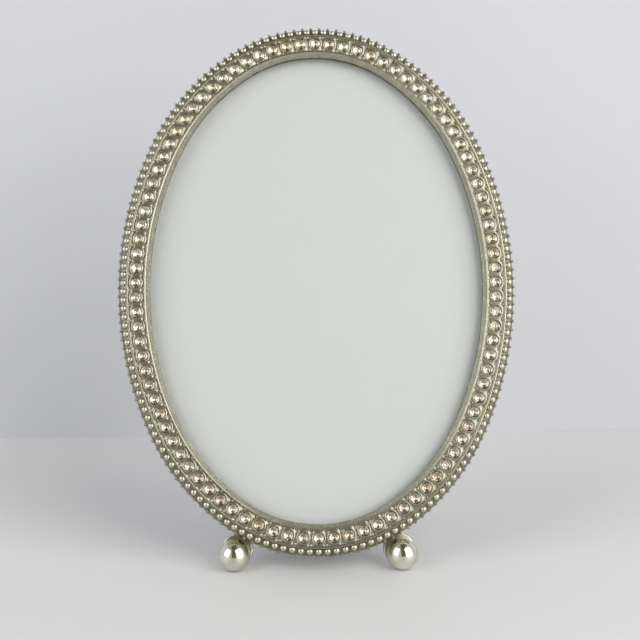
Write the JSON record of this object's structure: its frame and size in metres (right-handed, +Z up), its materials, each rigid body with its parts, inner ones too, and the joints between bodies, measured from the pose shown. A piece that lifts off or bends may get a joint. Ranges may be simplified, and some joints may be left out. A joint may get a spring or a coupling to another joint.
{
  "type": "oval picture frame",
  "caption": "Upright oval table picture frame with a crystal-set metal rim, beaded edge, ball feet, glass and a hinged easel leg behind.",
  "frame": {"origin": "on the table top, in the middle of the footprint between the ball feet and the easel leg", "axes": "+Z up, the picture faces -Y and leans back 17 degrees, +X to the viewer's right"},
  "size_m": [0.1432, 0.0785, 0.1909],
  "materials": {
    "cast_metal": "polished",
    "bead_metal": "polished",
    "crystal": "polished",
    "glass": "polished",
    "photo_paper": "satin",
    "board": "matte",
    "velvet": "matte",
    "hinge_steel": "satin",
    "button_steel": "satin",
    "screw_steel": "satin",
    "rivet_brass": "satin"
  },
  "bodies": {
    "frame": {"cast_frame": "cast_metal", "front_beads": "bead_metal", "side_beads": "bead_metal", "crystals": "crystal", "glass_pane": "glass", "photo_insert": "photo_paper", "back_board": "board", "back_velvet": "velvet", "hinge_base": "hinge_steel", "hinge_pin": "hinge_steel", "base_rivets": "rivet_brass", "button_screws": "screw_steel"},
    "leg": {"hinge_leaf": "hinge_steel", "easel_leg": "board", "leg_velvet": "velvet", "leg_rivets": "rivet_brass"},
    "button_1": {"turn_button_1": "button_steel"},
    "button_2": {"turn_button_2": "button_steel"},
    "button_3": {"turn_button_3": "button_steel"},
    "button_4": {"turn_button_4": "button_steel"}
  },
  "joints": [
    {"name": "easel_hinge", "type": "hinge", "parent": "frame", "child": "leg", "pos_m": [0, 0.00709, 0.1162], "axis": [1, 0, 0], "range_deg": [-32, 0]},
    {"name": "turn_button_1_turn", "type": "hinge", "parent": "frame", "child": "button_1", "pos_m": [0.03708, 0.02133, 0.16962], "axis": [0, 0.9563, -0.2924], "continuous": true},
    {"name": "turn_button_2_turn", "type": "hinge", "parent": "frame", "child": "button_2", "pos_m": [-0.03708, 0.02133, 0.16962], "axis": [0, 0.9563, -0.2924], "continuous": true},
    {"name": "turn_button_3_turn", "type": "hinge", "parent": "frame", "child": "button_3", "pos_m": [-0.03708, -0.02385, 0.02186], "axis": [0, 0.9563, -0.2924], "continuous": true},
    {"name": "turn_button_4_turn", "type": "hinge", "parent": "frame", "child": "button_4", "pos_m": [0.03708, -0.02385, 0.02186], "axis": [0, 0.9563, -0.2924], "continuous": true}
  ]
}
